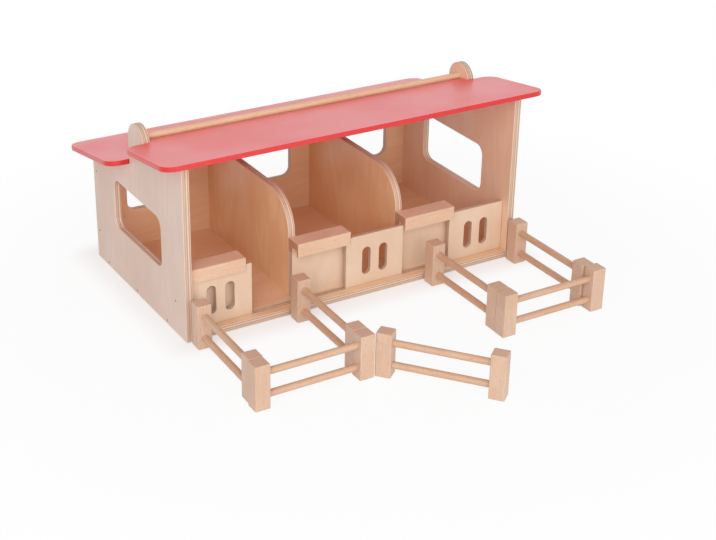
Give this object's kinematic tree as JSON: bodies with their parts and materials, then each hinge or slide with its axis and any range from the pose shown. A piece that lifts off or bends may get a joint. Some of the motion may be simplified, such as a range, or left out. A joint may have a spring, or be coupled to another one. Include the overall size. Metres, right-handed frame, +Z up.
{
  "type": "toy barn with sliding doors",
  "caption": "Plywood toy stable barn with bays, sliding half-height doors, red roof panels, a carrying dowel and loose post-and-rail fences.",
  "frame": {"origin": "middle of the barn's underside, level with the ground", "axes": "+Z up, -Y towards the open front with the fences, +X to the right seen from the front"},
  "size_m": [0.556, 0.607, 0.2473],
  "materials": {
    "birch_plywood": "sanded, clear matt varnish",
    "thin_birch_plywood": "sanded, clear matt varnish",
    "red_painted_plywood": "smooth satin paint",
    "beech": "planed and sanded, clear matt varnish",
    "beech_dowel": "turned, clear matt varnish",
    "steel_pins": "dull"
  },
  "bodies": {
    "barn": {"left_side_wall": "birch_plywood", "right_side_wall": "birch_plywood", "floor_panel": "birch_plywood", "back_panel": "birch_plywood", "left_divider": "birch_plywood", "right_divider": "birch_plywood", "left_front_panel": "birch_plywood", "middle_front_panel": "birch_plywood", "right_front_panel": "birch_plywood", "left_cap_rail": "beech", "middle_cap_rail": "beech", "right_cap_rail": "beech", "front_roof": "red_painted_plywood", "back_roof": "red_painted_plywood", "carrying_dowel": "beech_dowel", "side_wall_pins": "steel_pins", "back_panel_pins": "steel_pins", "floor_pins": "steel_pins", "roof_pins": "steel_pins"},
    "left_door": {"left_sliding_door": "thin_birch_plywood"},
    "middle_door": {"middle_sliding_door": "thin_birch_plywood"},
    "right_door": {"right_sliding_door": "thin_birch_plywood"},
    "left_pen_outer_fence": {"left_pen_outer_fence_near_post": "beech", "left_pen_outer_fence_far_post": "beech", "left_pen_outer_fence_top_rail": "beech_dowel", "left_pen_outer_fence_bottom_rail": "beech_dowel"},
    "left_pen_front_fence": {"left_pen_front_fence_near_post": "beech", "left_pen_front_fence_far_post": "beech", "left_pen_front_fence_top_rail": "beech_dowel", "left_pen_front_fence_bottom_rail": "beech_dowel"},
    "left_pen_inner_fence": {"left_pen_inner_fence_near_post": "beech", "left_pen_inner_fence_far_post": "beech", "left_pen_inner_fence_top_rail": "beech_dowel", "left_pen_inner_fence_bottom_rail": "beech_dowel"},
    "gate_fence": {"gate_fence_near_post": "beech", "gate_fence_far_post": "beech", "gate_fence_top_rail": "beech_dowel", "gate_fence_bottom_rail": "beech_dowel"},
    "right_pen_inner_fence": {"right_pen_inner_fence_near_post": "beech", "right_pen_inner_fence_far_post": "beech", "right_pen_inner_fence_top_rail": "beech_dowel", "right_pen_inner_fence_bottom_rail": "beech_dowel"},
    "right_pen_front_fence": {"right_pen_front_fence_near_post": "beech", "right_pen_front_fence_far_post": "beech", "right_pen_front_fence_top_rail": "beech_dowel", "right_pen_front_fence_bottom_rail": "beech_dowel"},
    "right_pen_outer_fence": {"right_pen_outer_fence_near_post": "beech", "right_pen_outer_fence_far_post": "beech", "right_pen_outer_fence_top_rail": "beech_dowel", "right_pen_outer_fence_bottom_rail": "beech_dowel"}
  },
  "joints": [
    {"name": "left_door_slide", "type": "slide", "parent": "barn", "child": "left_door", "axis": [1, 0, 0], "range_m": [0, 0.06423]},
    {"name": "middle_door_slide", "type": "slide", "parent": "barn", "child": "middle_door", "axis": [1, 0, 0], "range_m": [-0.07423, 0]},
    {"name": "right_door_slide", "type": "slide", "parent": "barn", "child": "right_door", "axis": [1, 0, 0], "range_m": [-0.07423, 0]},
    {"name": "left_pen_outer_fence_lift", "type": "slide", "parent": "barn", "child": "left_pen_outer_fence", "axis": [0, 0, 1], "range_m": [0, 0.12]},
    {"name": "left_pen_front_fence_lift", "type": "slide", "parent": "barn", "child": "left_pen_front_fence", "axis": [0, 0, 1], "range_m": [0, 0.12]},
    {"name": "left_pen_inner_fence_lift", "type": "slide", "parent": "barn", "child": "left_pen_inner_fence", "axis": [0, 0, 1], "range_m": [0, 0.12]},
    {"name": "gate_fence_lift", "type": "slide", "parent": "barn", "child": "gate_fence", "axis": [0, 0, 1], "range_m": [0, 0.12]},
    {"name": "right_pen_inner_fence_lift", "type": "slide", "parent": "barn", "child": "right_pen_inner_fence", "axis": [0, 0, 1], "range_m": [0, 0.12]},
    {"name": "right_pen_front_fence_lift", "type": "slide", "parent": "barn", "child": "right_pen_front_fence", "axis": [0, 0, 1], "range_m": [0, 0.12]},
    {"name": "right_pen_outer_fence_lift", "type": "slide", "parent": "barn", "child": "right_pen_outer_fence", "axis": [0, 0, 1], "range_m": [0, 0.12]}
  ]
}
